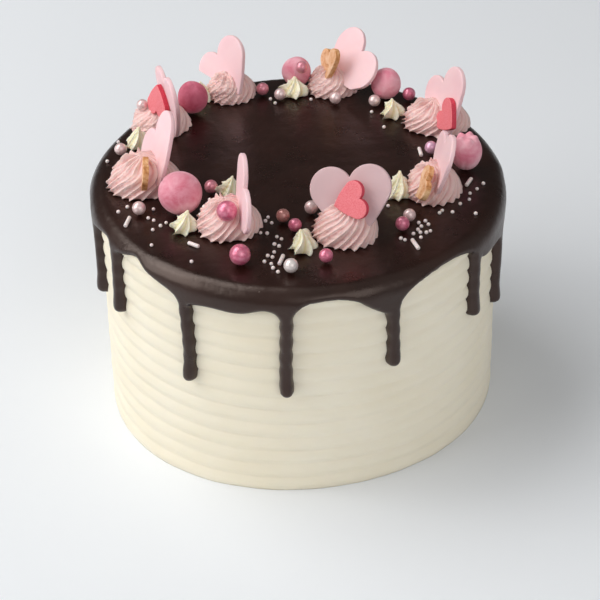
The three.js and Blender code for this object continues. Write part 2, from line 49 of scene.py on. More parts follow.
# Driving sizes of the cake, in millimetres as the real one is measured
CAKE_RADIUS = 98.0
CAKE_HEIGHT = 120.0
CREAM_TOP = 116.2
CREAM_SHOULDER = 4.5
COMB_PITCH = 8.37
COMB_DEPTH = 1.45
GANACHE_RADIUS = 101.8
GANACHE_THICKNESS = 3.8
DRIP_THICKNESS = 3.75
SHOULDER_RADIUS = 8.3

# How far the wall lies inside the cake's radius, how much more at its foot, and how far up the
# foot's unevenness reaches
WALL_INSET = 0.3
FOOT_INSET = 0.4
FOOT_REACH = 70

# The ganache's side: the radius on which its width is measured, how far down it is drawn, the
# width of its rounded edge, how far a drip's taper reaches and how softly a drip leaves the edge
SKIRT_RADIUS = 100
SKIRT_LENGTH = 66
EDGE_WIDTH = 2.7
DRIP_TAPER = 12
DRIP_BLEND = 2.4

# Where the ganache is folded back into the cream, and where it closes there
FOLD_RADIUS = 90.0
HUB_RADIUS = 84.0
HUB_HEIGHT = 104.0

# Driving sizes of the toppings
HEART_WIDTH = 38.0
HEART_THICKNESS = 2.2
SMALL_HEART_WIDTH = 17.5
SMALL_HEART_THICKNESS = 2.8
NONPAREIL_RADIUS = 0.95
ROD_RADIUS = 0.95
STAR_PETALS = 6

# How far the ridges turn from foot to tip in degrees, and the size of the frost on them in mm
SWIRL_SWEEP = 74
STAR_SWEEP = 60
FROST_SIZE = 1.3

# A swirl's grooves: their depth and how much deeper they are at the foot, as shares of its reach,
# the side in degrees where they are shallow, and how deep a soft swirl's are beside the others'
GROOVE_DEPTH = 0.115
FOOT_GROOVE = 0.07
SHALLOW_SIDE = 232
SOFT_SHARE = 0.6

# The height of a swirl's crown of small peaks, as a share of the swirl's
CROWN_LEVEL = 0.85

# How finely the pieces are cut
WALL_COLUMNS = 320
WALL_STEPS = 112
SKIN_COLUMNS = 840
SKIN_STEP = 0.75
SKIN_TOP_RINGS = 26
SHOULDER_ROWS = 15
COLUMNS_PER_RIDGE = 14
COLUMNS_PER_PETAL = 20
HEART_STEPS = 14

# The lower edge of the ganache read round the cake, as degrees from +X and height in mm
APRON_EDGE = [
    (0, 113.5), (5, 112.5), (10, 107.5), (14.5, 110.5), (20, 110.8), (26, 112), (32, 110),
    (37, 106), (41, 110.5), (48, 114), (56, 112), (61, 108.5), (66, 112.5), (74, 114.5),
    (82, 111.5), (88, 106.5), (92, 110), (99, 110.5), (106, 110.5), (113, 108), (118, 104),
    (123, 107.5), (131, 113), (139, 112.5), (145, 108), (149, 112), (157, 113.8), (165, 110.5),
    (172, 106), (178, 109.5), (186, 112.5), (191, 111), (194, 108), (199, 111), (204.3, 114),
    (207.5, 114.3), (210.4, 110.5), (215.5, 113.5), (218.5, 117), (221.5, 117), (226, 113),
    (230.3, 110.8), (234.3, 108.6), (236.5, 106), (238.4, 103.5), (242.5, 105.8), (247, 106.4),
    (252, 105.8), (255.5, 106.3), (258.6, 108.2), (261.3, 109.3), (263.8, 107.5), (266.1, 104.5),
    (269.3, 109), (271.5, 113.2), (275.3, 114.4), (280.5, 114.6), (284.4, 112.3), (288.5, 106.3),
    (292.3, 101.8), (295.2, 100.5), (298.3, 108.8), (301.5, 112.8), (306.4, 115.2), (312, 116.5),
    (317.5, 116.1), (321.4, 114), (325.7, 108), (328.5, 103.5), (334.6, 102.7), (339.5, 101),
    (344.4, 98.5), (347, 103), (352, 110.5),
]

# Each drip: where it runs in degrees from +X, and how low it ends; and half its width in mm, on
# its way down and at its end
DRIPS = [
    (10, 76), (37, 66), (61, 80), (88, 70), (118, 61), (145, 78), (172, 67), (194, 69),
    (210.4, 75.2), (238.4, 60), (266.1, 60.8), (295.2, 70.6), (325.7, 73.4), (344.4, 59.8),
]
DRIP_NECK = 3.05
DRIP_BULB = 3.45

# Each swirl's place, half widths and height, its ridges, the turn of the first one, the lean of
# the tip, and where a crown of small peaks stands on its top, in degrees from +X
SWIRLS = {
    1: dict(x=-32.6, y=-46, wide=16.3, deep=15.4, high=16,
            ridges=19, turn=20, tip=(-1.5, 1), crown=150),
    2: dict(x=21.3, y=-53, wide=16.8, deep=15.8, high=18,
            ridges=20, turn=5, tip=(2, -0.5), crown=140),
    3: dict(x=64.2, y=-18.9, wide=15, deep=14.8, high=16,
            ridges=18, turn=40, tip=(-1, 1.5), crown=150),
    4: dict(x=70.8, y=44.5, wide=18.8, deep=14.8, high=15,
            ridges=20, turn=-12, tip=(-2, 1), crown=190),
    5: dict(x=19.6, y=83.6, wide=14.8, deep=13.2, high=14,
            ridges=18, turn=60, tip=(-1.5, 0), crown=200),
    6: dict(x=-33.8, y=79.5, wide=13.8, deep=13.2, high=14.5,
            ridges=18, turn=0, tip=(-2.5, -1), crown=215),
    7: dict(x=-69, y=46.8, wide=16.2, deep=15.2, high=15,
            ridges=18, turn=30, tip=(-1.5, 1), crown=170),
    8: dict(x=-73.6, y=-9.6, wide=19.2, deep=14.8, high=18.5,
            ridges=20, turn=10, tip=(-1, 2), crown=160),
}

# The swirls whose ridges are softer and frostier than the others'
SOFT_SWIRLS = (5, 6, 7)

# Each heart plate: its middle, its lowest point's height over the cake's top, its turn, lean and
# roll, and for three of them the height at which they are cut off level inside their cream
LARGE_HEARTS = {
    1: dict(x=-25.3, y=-50.6, foot=1.8, turn=-81.5, lean=6.2, roll=-32.2),
    2: dict(x=24.3, y=-53.0, foot=0.8, turn=-19.7, lean=26.2, roll=13.2),
    3: dict(x=67.7, y=-19.8, foot=-2.3, cut=6.7, turn=-90.5, lean=14.6, roll=25.0),
    4: dict(x=74.6, y=39.7, foot=0.6, turn=-70.5, lean=15.5, roll=39.8),
    5: dict(x=27.5, y=82.2, foot=-0.2, cut=6.8, turn=-58.3, lean=37.0, roll=-21.5),
    6: dict(x=-36.6, y=81.1, foot=-2.1, cut=5.9, turn=-51.4, lean=16.3, roll=48.4),
    7: dict(x=-62.8, y=36.8, foot=0.8, turn=-71.7, lean=-5.3, roll=8.5),
    8: dict(x=-66.3, y=-5.9, foot=3.6, turn=-72.3, lean=20.8, roll=55.8),
}
SMALL_HEARTS = {
    "coral_heart_2": dict(x=24.0, y=-57.4, foot=13.6, turn=-34.0, lean=23.5, roll=-60.0),
    "gold_heart_3": dict(x=58.9, y=-28.1, foot=2.7, turn=-86.5, lean=24.4, roll=-34.0),
    "coral_heart_4": dict(x=74.7, y=28.7, foot=4.9, turn=-71.3, lean=15.4, roll=77.9),
    "gold_heart_5": dict(x=17.7, y=81.1, foot=8.8, turn=-71.2, lean=18.8, roll=25.7),
    "coral_heart_7": dict(x=-68.6, y=39.6, foot=11.1, turn=-57.0, lean=9.0, roll=-173.0),
    "gold_heart_8": dict(x=-72.2, y=-18.9, foot=3.0, turn=-85.8, lean=8.3, roll=3.7),
}

# The star dollops: the turn of the first ridge in degrees and the lean of the tip in mm
STARS = {
    1: (10, (2.5, 2.0)),
    2: (25, (-1.0, 1.5)),
    3: (0, (1.0, 3.0)),
    4: (15, (0.0, 1.0)),
    5: (5, (0.5, 2.0)),
    6: (40, (2.0, 2.0)),
    7: (20, (2.0, 1.0)),
    8: (35, (-1.0, 0.0)),
}

PEARL_FINISHES = {
    "hot": [1, 2, 6, 9, 11, 20],
    "rose": [4, 15, 19],
    "pale": [3, 7, 10, 12, 13, 14, 16, 17],
    "dusty": [5],
    "white": [8],
    "lilac": [18],
}

# White nonpareils on the ganache, as x and y in mm
NONPAREILS = [
    (52.6, -55.6), (55.6, -46.6), (56.6, -49.6), (54.9, -52.3), (55.8, -54.6), (58.6, -54.7),
    (60.5, -53.6), (55.8, -58.7), (58.8, -45.2), (60.0, -48.1), (46.6, -59.2), (48.4, -60.5),
    (65.9, -38.5), (67.3, -36.6), (72.0, -38.0), (76.2, -31.0), (80.8, -27.4), (81.6, -22.1),
    (85.3, -18.3), (88.8, -13.5), (82.7, -39.6), (42.2, -31.7), (44.0, 41.6),
    (-14.2, -39.6), (-15.4, -42.6), (-12.5, -44.4), (-17.6, -52.5), (-14.6, -53.0),
    (-10.1, -56.0), (-8.0, -57.9), (-11.2, -62.0), (-9.1, -63.6), (-11.3, -68.4), (-14.2, -71.2),
    (-12.1, -72.4), (-15.7, -75.8), (-12.6, -77.7), (-11.8, -80.9), (-9.6, -84.0),
    (-84.6, -32.5), (-80.6, -28.4), (-68.2, -30.8), (-70.2, -38.3), (-67.5, -40.4),
    (-67.5, -48.3), (-67.3, -60.9), (-48.5, -74.7), (-64.1, -45.0), (-61.6, -42.6),
    (-93.5, 13.4), (-89.5, 31.9),
    (38.5, 57.2), (-13.4, 72.6), (-11.0, 68.2), (7.6, 71.4), (59.0, 61.0), (-62.6, 66.4),
]

# White rods on the ganache: each end's x and y in mm
RODS = [
    (51.6, -60.8, 54.1, -68.4),
    (-7.2, -71.6, -9.0, -78.6),
    (-78.9, -37.8, -80.4, -45.4),
    (-50.6, -60.0, -45.6, -63.4),
    (83.4, -9.4, 80.4, -15.6),
    (60.3, 19.8, 60.9, 12.6),
    (-57.6, 68.6, -61.8, 73.4),
]

# Sprinkles caught on two swirls, as x, y and height over the cake's top
CAUGHT = [
    (-43.6, -43.4, 9.4), (-45.2, -46.8, 7.4), (-41.0, -39.2, 10.6), (-38.6, -42.2, 12.2),
    (-42.8, 81.2, 8.2), (-40.6, 84.4, 8.6),
]


# The soft lights: place and size in metres, and power in watts
LIGHTS = {
    "window": dict(place=(-1.6, -0.4, 1.2), size=1.7, power=19, colour=(1.0, 0.985, 0.96)),
    "skylight": dict(place=(-0.85, 0.35, 1.55), size=1.2, power=12, colour=(1.0, 0.99, 0.97)),
    "fill": dict(place=(1.3, -2.6, 2.0), size=2.6, power=22, colour=(1.0, 0.985, 0.97)),
}


# Materials

def tone(red, green, blue):
    """A colour as a picture shows it, 0 to 255, made linear for the shader."""
    channels = []
    for value in (red, green, blue):
        share = value / 255
        channels.append(share / 12.92 if share <= 0.04045 else ((share + 0.055) / 1.055) ** 2.4)
    return (*channels, 1.0)


class Finish:
    """A node material that is built up step by step."""

    def __init__(self, name, roughness, specular=0.5):
        self.material = bpy.data.materials.new(name)
        self.material.use_nodes = True
        self.nodes = self.material.node_tree.nodes
        self.links = self.material.node_tree.links
        self.shader = self.nodes["Principled BSDF"]
        self.shader.inputs["Roughness"].default_value = roughness
        self.shader.inputs["Specular IOR Level"].default_value = specular
        self.place = self.nodes.new("ShaderNodeTexCoord").outputs["Object"]

    def noise(self, size_mm, detail=3.0, roughness=0.5, distortion=0.0):
        made = self.nodes.new("ShaderNodeTexNoise")
        made.inputs["Scale"].default_value = 1.0 / (size_mm * MM)
        made.inputs["Detail"].default_value = detail
        made.inputs["Roughness"].default_value = roughness
        made.inputs["Distortion"].default_value = distortion
        self.links.new(self.place, made.inputs["Vector"])
        return made.outputs["Fac"]

    def cells(self, size_mm):
        made = self.nodes.new("ShaderNodeTexVoronoi")
        made.inputs["Scale"].default_value = 1.0 / (size_mm * MM)
        self.links.new(self.place, made.inputs["Vector"])
        return made.outputs["Distance"]

    def ramp(self, factor, stops):
        made = self.nodes.new("ShaderNodeValToRGB")
        while len(made.color_ramp.elements) < len(stops):
            made.color_ramp.elements.new(0.5)
        for element, (at, colour) in zip(made.color_ramp.elements, stops):
            element.position = at
            element.color = colour
        self.links.new(factor, made.inputs["Fac"])
        return made.outputs["Color"]

    def blend(self, factor, first, second):
        made = self.nodes.new("ShaderNodeMix")
        made.data_type = "RGBA"
        self.links.new(factor, made.inputs["Factor"])
        for socket, value in ((6, first), (7, second)):
            if isinstance(value, tuple):
                made.inputs[socket].default_value = value
            else:
                self.links.new(value, made.inputs[socket])
        return made.outputs[2]

    def attribute(self, name):
        made = self.nodes.new("ShaderNodeAttribute")
        made.attribute_name = name
        return made.outputs["Fac"]

    def span(self, value, low, high):
        made = self.nodes.new("ShaderNodeMapRange")
        made.inputs["To Min"].default_value = low
        made.inputs["To Max"].default_value = high
        self.links.new(value, made.inputs["Value"])
        return made.outputs["Result"]

    def colour(self, value):
        self.links.new(value, self.shader.inputs["Base Color"])

    def roughen(self, value, low, high):
        self.links.new(self.span(value, low, high), self.shader.inputs["Roughness"])

    def bump(self, height, depth_mm, strength=1.0):
        made = self.nodes.new("ShaderNodeBump")
        made.inputs["Distance"].default_value = depth_mm * MM
        made.inputs["Strength"].default_value = strength
        self.links.new(height, made.inputs["Height"])
        earlier = self.shader.inputs["Normal"].links
        if earlier:
            self.links.new(earlier[0].from_socket, made.inputs["Normal"])
        self.links.new(made.outputs["Normal"], self.shader.inputs["Normal"])

    def soften(self, weight, reach_mm, tint=(1.0, 0.6, 0.4)):
        self.shader.inputs["Subsurface Weight"].default_value = weight
        self.shader.inputs["Subsurface Radius"].default_value = tint
        self.shader.inputs["Subsurface Scale"].default_value = reach_mm * MM

    def coat(self, weight, roughness):
        self.shader.inputs["Coat Weight"].default_value = weight
        self.shader.inputs["Coat Roughness"].default_value = roughness

    def sheen(self, weight, roughness, tint):
        self.shader.inputs["Sheen Weight"].default_value = weight
        self.shader.inputs["Sheen Roughness"].default_value = roughness
        self.shader.inputs["Sheen Tint"].default_value = tint


def cream_finish():
    finish = Finish("combed_cream", 0.5, 0.35)
    patches = finish.noise(40, 2)
    finish.colour(finish.ramp(patches, [(0.3, tone(244, 235, 212)), (0.7, tone(248, 240, 220))]))
    finish.soften(0.15, 2.5, (1.0, 0.85, 0.6))
    finish.bump(finish.noise(5, 4, 0.6), 0.14)
    finish.bump(finish.noise(0.9, 3, 0.6), 0.04)
    return finish.material


def ganache_finish():
    finish = Finish("ganache", 0.28, 0.65)
    finish.shader.inputs["Specular Tint"].default_value = (1.0, 0.82, 0.74, 1.0)
    patches = finish.noise(28, 3)
    finish.colour(finish.ramp(patches, [(0.3, tone(28, 10, 6)), (0.75, tone(39, 16, 10))]))
    finish.roughen(finish.noise(14, 5, 0.6), 0.18, 0.42)
    finish.bump(finish.noise(16, 3, 0.5), 0.7)
    finish.bump(finish.noise(1.3, 4, 0.7), 0.08)
    specks = finish.ramp(finish.cells(6.5), [(0.0, (1, 1, 1, 1)), (0.07, (0, 0, 0, 1))])
    finish.bump(specks, 0.16)
    return finish.material


def piped_finish(name, crest, groove_shade, blush):
    finish = Finish(name, 0.5, 0.3)
    patches = finish.noise(5, 4, 0.65)
    body = finish.blend(finish.span(patches, 0.0, 0.9), crest, blush)
    # Grooves are painted darker and deeper in tone from the stored groove depth: painted shade
    # where the ridges shade each other
    finish.colour(finish.blend(finish.attribute("groove_shade"), body, groove_shade))
    finish.soften(0.2, 1.2)
    finish.bump(finish.noise(1.0, 4, 0.7), 0.14)
    finish.bump(finish.noise(0.35, 2, 0.6), 0.03)
    return finish.material


def fondant_finish(name, dark, light):
    finish = Finish(name, 0.55, 0.3)
    patches = finish.noise(18, 3)
    finish.colour(finish.ramp(patches, [(0.3, dark), (0.7, light)]))
    finish.soften(0.12, 1.2)
    finish.bump(finish.noise(0.6, 3, 0.6), 0.02)
    finish.bump(finish.noise(9, 2, 0.5), 0.12)
    return finish.material


def coral_finish(name, dark, light):
    finish = Finish(name, 0.58, 0.35)
    grain = finish.noise(0.55, 3, 0.7)
    finish.colour(finish.ramp(grain, [(0.32, dark), (0.68, light)]))
    finish.soften(0.08, 0.8)
    finish.bump(grain, 0.07)
    return finish.material


def gold_finish(name, deep, middle, light):
    finish = Finish(name, 0.45, 0.45)
    veins = finish.noise(4.5, 5, 0.62, 0.6)
    finish.colour(finish.ramp(veins, [(0.28, deep), (0.44, middle), (0.66, light)]))
    finish.roughen(finish.noise(1.2, 3), 0.34, 0.62)
    finish.bump(finish.noise(1.6, 5, 0.7), 0.35)
    return finish.material


def ball_finish(name, deep, pale):
    finish = Finish(name, 0.72, 0.25)
    dust = finish.noise(9, 5, 0.6, 0.3)
    finish.colour(finish.ramp(dust, [(0.32, deep), (0.68, pale)]))
    finish.sheen(0.25, 0.5, tone(255, 215, 222))
    finish.bump(finish.noise(0.5, 3, 0.65), 0.06)
    finish.bump(finish.noise(3.5, 3, 0.5), 0.2)
    return finish.material


def pearl_finish(name, body, glow):
    finish = Finish(name, 0.3, 0.7)
    lustre = finish.noise(1.8, 3, 0.6)
    finish.colour(finish.ramp(lustre, [(0.3, body), (0.75, glow)]))
    finish.shader.inputs["Metallic"].default_value = 0.35
    finish.coat(0.5, 0.14)
    finish.bump(finish.noise(0.6, 3, 0.6), 0.03)
    return finish.material


def sugar_finish():
    finish = Finish("white_sugar", 0.42, 0.45)
    grain = finish.noise(0.8, 3)
    finish.colour(finish.ramp(grain, [(0.3, tone(232, 216, 214)), (0.7, tone(249, 240, 238))]))
    finish.soften(0.2, 0.5)
    finish.bump(grain, 0.04)
    return finish.material


# Working with pieces

def alone(piece):
    """Makes a piece the only one that is selected, and the active one."""
    bpy.ops.object.select_all(action="DESELECT")
    piece.select_set(True)
    bpy.context.view_layer.objects.active = piece


def apply_modifier(piece, kind, **settings):
    alone(piece)
    modifier = piece.modifiers.new(kind.lower(), kind)
    for key, value in settings.items():
        setattr(modifier, key, value)
    bpy.ops.object.modifier_apply(modifier=modifier.name)


def smooth(piece, degrees=None):
    alone(piece)
    if degrees is None:
        bpy.ops.object.shade_smooth()
    else:
        bpy.ops.object.shade_smooth_by_angle(angle=math.radians(degrees))


def outwards(piece):
    """Merges doubles and turns every face outwards."""
    alone(piece)
    bpy.ops.object.mode_set(mode="EDIT")
    bpy.ops.mesh.select_all(action="SELECT")
    bpy.ops.mesh.remove_doubles(threshold=1e-6)
    bpy.ops.mesh.normals_make_consistent(inside=False)
    bpy.ops.object.mode_set(mode="OBJECT")


def settle(piece):
    """Puts a piece's place into its mesh."""
    alone(piece)
    bpy.ops.object.transform_apply(location=True, rotation=True, scale=True)


def dress(piece, name, materials, nodes=()):
    """Names a finished piece, paints it and puts it on the cake."""
    piece.name = name
    piece.data.name = name
    for material in materials:
        piece.data.materials.append(material)
    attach(piece, "root")
    if nodes:
        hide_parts(*nodes)
    return piece


def mesh_piece(name, corners, faces):
    mesh = bpy.data.meshes.new(name)
    mesh.from_pydata(corners, [], faces)
    mesh.update()
    piece = bpy.data.objects.new(name, mesh)
    bpy.context.scene.collection.objects.link(piece)
    return piece


def join(pieces):
    bpy.ops.object.select_all(action="DESELECT")
    for piece in pieces:
        piece.select_set(True)
    bpy.context.view_layer.objects.active = pieces[0]
    bpy.ops.object.join()
    return pieces[0]


def wave(x, y, z, size_mm):
    """Smooth noise between about -1 and 1 at a place in mm."""
    return noise.noise(Vector((x / size_mm, y / size_mm, z / size_mm)))


# The cream wall

def unevenness(angle):
    """How far the cake's foot is out of round, as a share of its radius."""
    second = 0.0055 * math.cos(2 * angle) + 0.0122 * math.sin(2 * angle)
    third = 0.0071 * math.cos(3 * angle) - 0.0147 * math.sin(3 * angle)
    return second + third


def comb_depth(height):
    """How far the combed wall lies inside its ridges at a height, as a share of their depth."""
    along = (height / COMB_PITCH) % 1.0
    return 1 - math.sin(math.pi * along**0.85) ** 0.55


def cream_wall():
    wall_top = CREAM_TOP - CREAM_SHOULDER
    bpy.ops.object.select_all(action="DESELECT")
    bpy.ops.mesh.primitive_circle_add(
        vertices=WALL_COLUMNS, radius=CAKE_RADIUS * MM, fill_type="NGON"
    )
    wall = bpy.context.object
    bpy.ops.object.mode_set(mode="EDIT")
    bpy.ops.mesh.select_all(action="SELECT")
    for _ in range(WALL_STEPS):
        lift = {"value": (0, 0, wall_top / WALL_STEPS * MM)}
        bpy.ops.mesh.extrude_region_move(TRANSFORM_OT_translate=lift)
    reach = CAKE_RADIUS
    height = wall_top
    for turn in (22.5, 45, 67.5, 90):
        new_height = wall_top + CREAM_SHOULDER * math.sin(math.radians(turn))
        new_reach = CAKE_RADIUS - CREAM_SHOULDER * (1 - math.cos(math.radians(turn)))
        lift = {"value": (0, 0, (new_height - height) * MM)}
        bpy.ops.mesh.extrude_region_move(TRANSFORM_OT_translate=lift)
        share = new_reach / reach
        bpy.ops.transform.resize(value=(share, share, 1), center_override=(0, 0, new_height * MM))
        reach = new_reach
        height = new_height
    bpy.ops.object.mode_set(mode="OBJECT")
    for vertex in wall.data.vertices:
        x, y, z = vertex.co / MM
        if z > wall_top + 0.1:
            continue
        angle = math.atan2(y, x)
        drift = 0.9 * wave(x, y, 0, 60) + 0.4 * wave(x, y, z, 22)
        firm = COMB_DEPTH * (0.85 + 0.3 * wave(x, y, z * 3, 35))
        depth = firm * comb_depth(max(z + drift, 0.0)) if z > 0.5 else FOOT_INSET
        low = max(0.0, 1 - z / FOOT_REACH)
        hand = 0.3 * wave(x, y, z * 1.5, 17) + 0.14 * wave(x, y, z * 4, 5)
        radius = CAKE_RADIUS * (1 + low * unevenness(angle)) - depth + hand - WALL_INSET
        vertex.co.x = radius * math.cos(angle) * MM
        vertex.co.y = radius * math.sin(angle) * MM
    outwards(wall)
    smooth(wall)
    return dress(wall, "cream_wall", [cream_finish()], ["cake_body"])


# The ganache

def bearing(start, end):
    """The turn from one direction to another, from -180 to 180 degrees."""
    return (end - start + 180.0) % 360.0 - 180.0


def along_skirt(height):
    """Distance down the cap's side from where its shoulder starts, for a height in mm."""
    centre = CAKE_HEIGHT - SHOULDER_RADIUS
    up = np.clip((height - centre) / SHOULDER_RADIUS, 0, 1)
    bent = SHOULDER_RADIUS * np.arccos(up)
    return np.where(height >= centre, bent, SHOULDER_RADIUS * math.pi / 2 + centre - height)


def apron_edge(degrees):
    """How far down the side the ganache's edge lies between the drips, a little smoothed."""
    places, heights = zip(*APRON_EDGE)
    shifts = (-1.2, -0.6, 0, 0.6, 1.2)
    read = sum(np.interp(degrees + shift, places, heights, period=360) for shift in shifts)
    return along_skirt(read / len(shifts))


def smooth_union(first, second, reach):
    """The smaller of two distances, blended where they are nearly the same."""
    share = np.clip(0.5 + 0.5 * (second - first) / reach, 0, 1)
    return second * (1 - share) + first * share - reach * share * (1 - share)


def wet_distance(degrees, along):
    """Signed distance in mm to the ganache's edge on the cake's side: below 0 is under ganache."""
    edge = apron_edge(degrees)
    width = 0.4 * math.pi / 180 * SKIRT_RADIUS
    slope = (apron_edge(degrees + 0.2) - apron_edge(degrees - 0.2)) / width
    distance = (along - edge) / np.sqrt(1 + np.minimum(slope * slope, 4))
    ripple = 0.2 * np.cos(along * 2 * math.pi / COMB_PITCH)
    for at, bottom in DRIPS:
        across = np.radians(bearing(at, degrees)) * SKIRT_RADIUS
        across = across + 0.35 * np.sin(along / 9 + at)
        foot = along_skirt(np.array(bottom)) - DRIP_BULB
        root = apron_edge(np.array(float(at))) - 3
        down = np.clip(along, root, foot)
        late = np.clip((down - (foot - DRIP_TAPER)) / DRIP_TAPER, 0, 1)
        early = np.clip(1 - (down - root) / DRIP_TAPER, 0, 1)
        half = DRIP_NECK + (DRIP_BULB - DRIP_NECK) * late * late * (3 - 2 * late)
        half = half + 0.6 * early * early + ripple * (1 - late)
        drip = np.hypot(across, along - down) - half
        distance = smooth_union(distance, drip, DRIP_BLEND)
    return distance


def bulb_swell(degrees, along):
    """How much thicker the ganache is at the end of each drip, in mm."""
    swell = np.zeros_like(along)
    for at, bottom in DRIPS:
        across = np.radians(bearing(at, degrees)) * SKIRT_RADIUS
        foot = along_skirt(np.array(bottom)) - DRIP_BULB
        swell += 0.85 * np.exp(-((across / 5) ** 2) - ((along - foot) / 5.5) ** 2)
    return swell


def skirt_place(degrees, along, thickness):
    """Where ganache of a thickness stands on the cake's side, in mm."""
    quarter = SHOULDER_RADIUS * math.pi / 2
    flat = GANACHE_RADIUS - SHOULDER_RADIUS
    centre = CAKE_HEIGHT - SHOULDER_RADIUS
    turn = np.minimum(along, quarter) / SHOULDER_RADIUS
    bend = SHOULDER_RADIUS - GANACHE_THICKNESS + thickness
    radius = flat + bend * np.sin(turn)
    height = centre + bend * np.cos(turn) - np.maximum(along - quarter, 0)
    angle = np.radians(degrees)
    return radius * np.cos(angle), radius * np.sin(angle), height


def ring_faces(first, columns, kept=None):
    """The faces between a ring of corners and the next one, or only those that are kept."""
    faces = []
    for column in range(columns):
        if kept is None or kept[column]:
            here, after = first + column, first + (column + 1) % columns
            faces.append((here, here + columns, after + columns, after))
    return faces


def ganache_skin():
    """The cap and its drips: rings on the top, and a grid on the side that ends at the wet edge."""
    columns = SKIN_COLUMNS
    quarter = SHOULDER_RADIUS * math.pi / 2
    lower_rows = np.arange(quarter + SKIN_STEP, SKIRT_LENGTH, SKIN_STEP)
    rows = np.concatenate([np.linspace(0, quarter, SHOULDER_ROWS), lower_rows])
    degrees, along = np.meshgrid(np.arange(columns) * 360.0 / columns, rows)
    distance = wet_distance(degrees, along)
    step = 0.05
    per_degree = math.pi / 180 * SKIRT_RADIUS
    slope_across = (wet_distance(degrees + step / per_degree, along) - distance) / step
    slope_along = (wet_distance(degrees, along + step) - distance) / step
    wet = distance < 0
    cells = wet | np.roll(wet, -1, axis=1)
    kept = cells[:-1] | cells[1:]
    outside = np.where(distance > 0, distance, 0)
    steep = np.maximum(slope_across**2 + slope_along**2, 0.25)
    placed_degrees = degrees - outside * slope_across / steep / per_degree
    placed_along = along - outside * slope_along / steep
    depth = np.clip(-distance, 0, None)
    share = np.clip(depth / EDGE_WIDTH, 0, 1)
    lower = np.clip((along - 18) / 10, 0, 1)
    full = GANACHE_THICKNESS - (GANACHE_THICKNESS - DRIP_THICKNESS) * lower
    full = full + bulb_swell(degrees, along)
    for bends, lag, size in ((3, 1.1, 0.09), (7, 0.4, 0.09), (13, 2.2, 0.07), (23, 0.9, 0.05)):
        full = full - size * (1 + np.sin(np.radians(degrees) * bends + lag + along / 7))
    thickness = full * np.sqrt(1 - (1 - share) ** 2)
    x, y, z = skirt_place(placed_degrees, placed_along, thickness)
    flat = GANACHE_RADIUS - SHOULDER_RADIUS
    corners = [(0.0, 0.0, CAKE_HEIGHT * MM)]
    for ring in range(1, SKIN_TOP_RINGS):
        radius = flat * ring / SKIN_TOP_RINGS
        for column in range(columns):
            angle = 2 * math.pi * column / columns
            px, py = radius * math.cos(angle), radius * math.sin(angle)
            corners.append((px * MM, py * MM, z[0, column] * MM))
    faces = [(0, 1 + c, 1 + (c + 1) % columns) for c in range(columns)]
    start = len(corners)
    for px, py, pz in zip(x.ravel(), y.ravel(), z.ravel()):
        corners.append((px * MM, py * MM, pz * MM))
    for ring in range(SKIN_TOP_RINGS - 1):
        faces += ring_faces(1 + ring * columns, columns)
    for row, row_kept in enumerate(kept):
        faces += ring_faces(start + row * columns, columns, row_kept)
    skin = mesh_piece("ganache_skin", corners, faces)
    close_behind(skin)
    level_top(skin, flat)
    smooth(skin)
    return dress(skin, "ganache_skin", [ganache_finish()], ["ganache"])


def level_top(skin, flat):
    """Gives the cap's top its faint rings from the spatula, fading out at the shoulder."""
    for vertex in skin.data.vertices:
        px, py, pz = vertex.co / MM
        if pz < CAKE_HEIGHT - 1.2:
            continue
        distance = math.hypot(px, py)
        inner = min(1.0, max(0.0, (flat - distance) / 14))
        even = CAKE_HEIGHT - 0.35
        ring = math.sin(math.hypot(px - 6, py + 10) / 5.5 + 1.5 * wave(px, py, 0, 30))
        lift = 0.14 * wave(px, py, 0, 24) + 0.04 * ring
        vertex.co.z = (pz + (even - pz) * inner + lift * min(1.0, inner * 2)) * MM


def close_behind(skin):
    """Folds the skin's open edge back into the cream and closes it there."""
    shell = bmesh.new()
    shell.from_mesh(skin.data)
    loose = [v for v in shell.verts if not v.link_faces]
    bmesh.ops.delete(shell, geom=loose, context="VERTS")
    for radius_mm, level in ((FOLD_RADIUS, None), (HUB_RADIUS, HUB_HEIGHT)):
        edges = [e for e in shell.edges if e.is_boundary]
        made = bmesh.ops.extrude_edge_only(shell, edges=edges)["geom"]
        for vertex in [g for g in made if isinstance(g, bmesh.types.BMVert)]:
            x, y = vertex.co.x, vertex.co.y
            distance = math.hypot(x, y)
            vertex.co.x = x * radius_mm * MM / distance
            vertex.co.y = y * radius_mm * MM / distance
            if level:
                vertex.co.z = level * MM
    rim = [e for e in shell.edges if e.is_boundary]
    hub = shell.verts.new((0, 0, HUB_HEIGHT * MM))
    for edge in rim:
        shell.faces.new((edge.verts[0], edge.verts[1], hub))
    bmesh.ops.recalc_face_normals(shell, faces=shell.faces)
    shell.to_mesh(skin.data)
    shell.free()


# Piped cream

def rounded(profile):
    """The same profile with twice as many rings and its corners cut off."""
    fine = [profile[0]]
    for (reach, rise), (next_reach, next_rise) in zip(profile, profile[1:]):
        fine.append((0.75 * reach + 0.25 * next_reach, 0.75 * rise + 0.25 * next_rise))
        fine.append((0.25 * reach + 0.75 * next_reach, 0.25 * rise + 0.75 * next_rise))
    return [*fine, profile[-1]]


def draw_up(columns, profile):
    """A round outline drawn up ring by ring; the profile gives each ring's reach and rise."""
    profile = rounded(rounded(profile))
    bpy.ops.object.select_all(action="DESELECT")
    bpy.ops.mesh.primitive_circle_add(vertices=columns, radius=profile[0][0], fill_type="NGON")
    mound = bpy.context.object
    bpy.ops.object.mode_set(mode="EDIT")
    bpy.ops.mesh.select_all(action="SELECT")
    reach, rise = profile[0]
    for next_reach, next_rise in profile[1:]:
        bpy.ops.mesh.extrude_region_move(TRANSFORM_OT_translate={"value": (0, 0, next_rise - rise)})
        share = next_reach / reach
        bpy.ops.transform.resize(value=(share, share, 1), center_override=(0, 0, next_rise))
        reach, rise = next_reach, next_rise
    bpy.ops.object.mode_set(mode="OBJECT")
    return mound


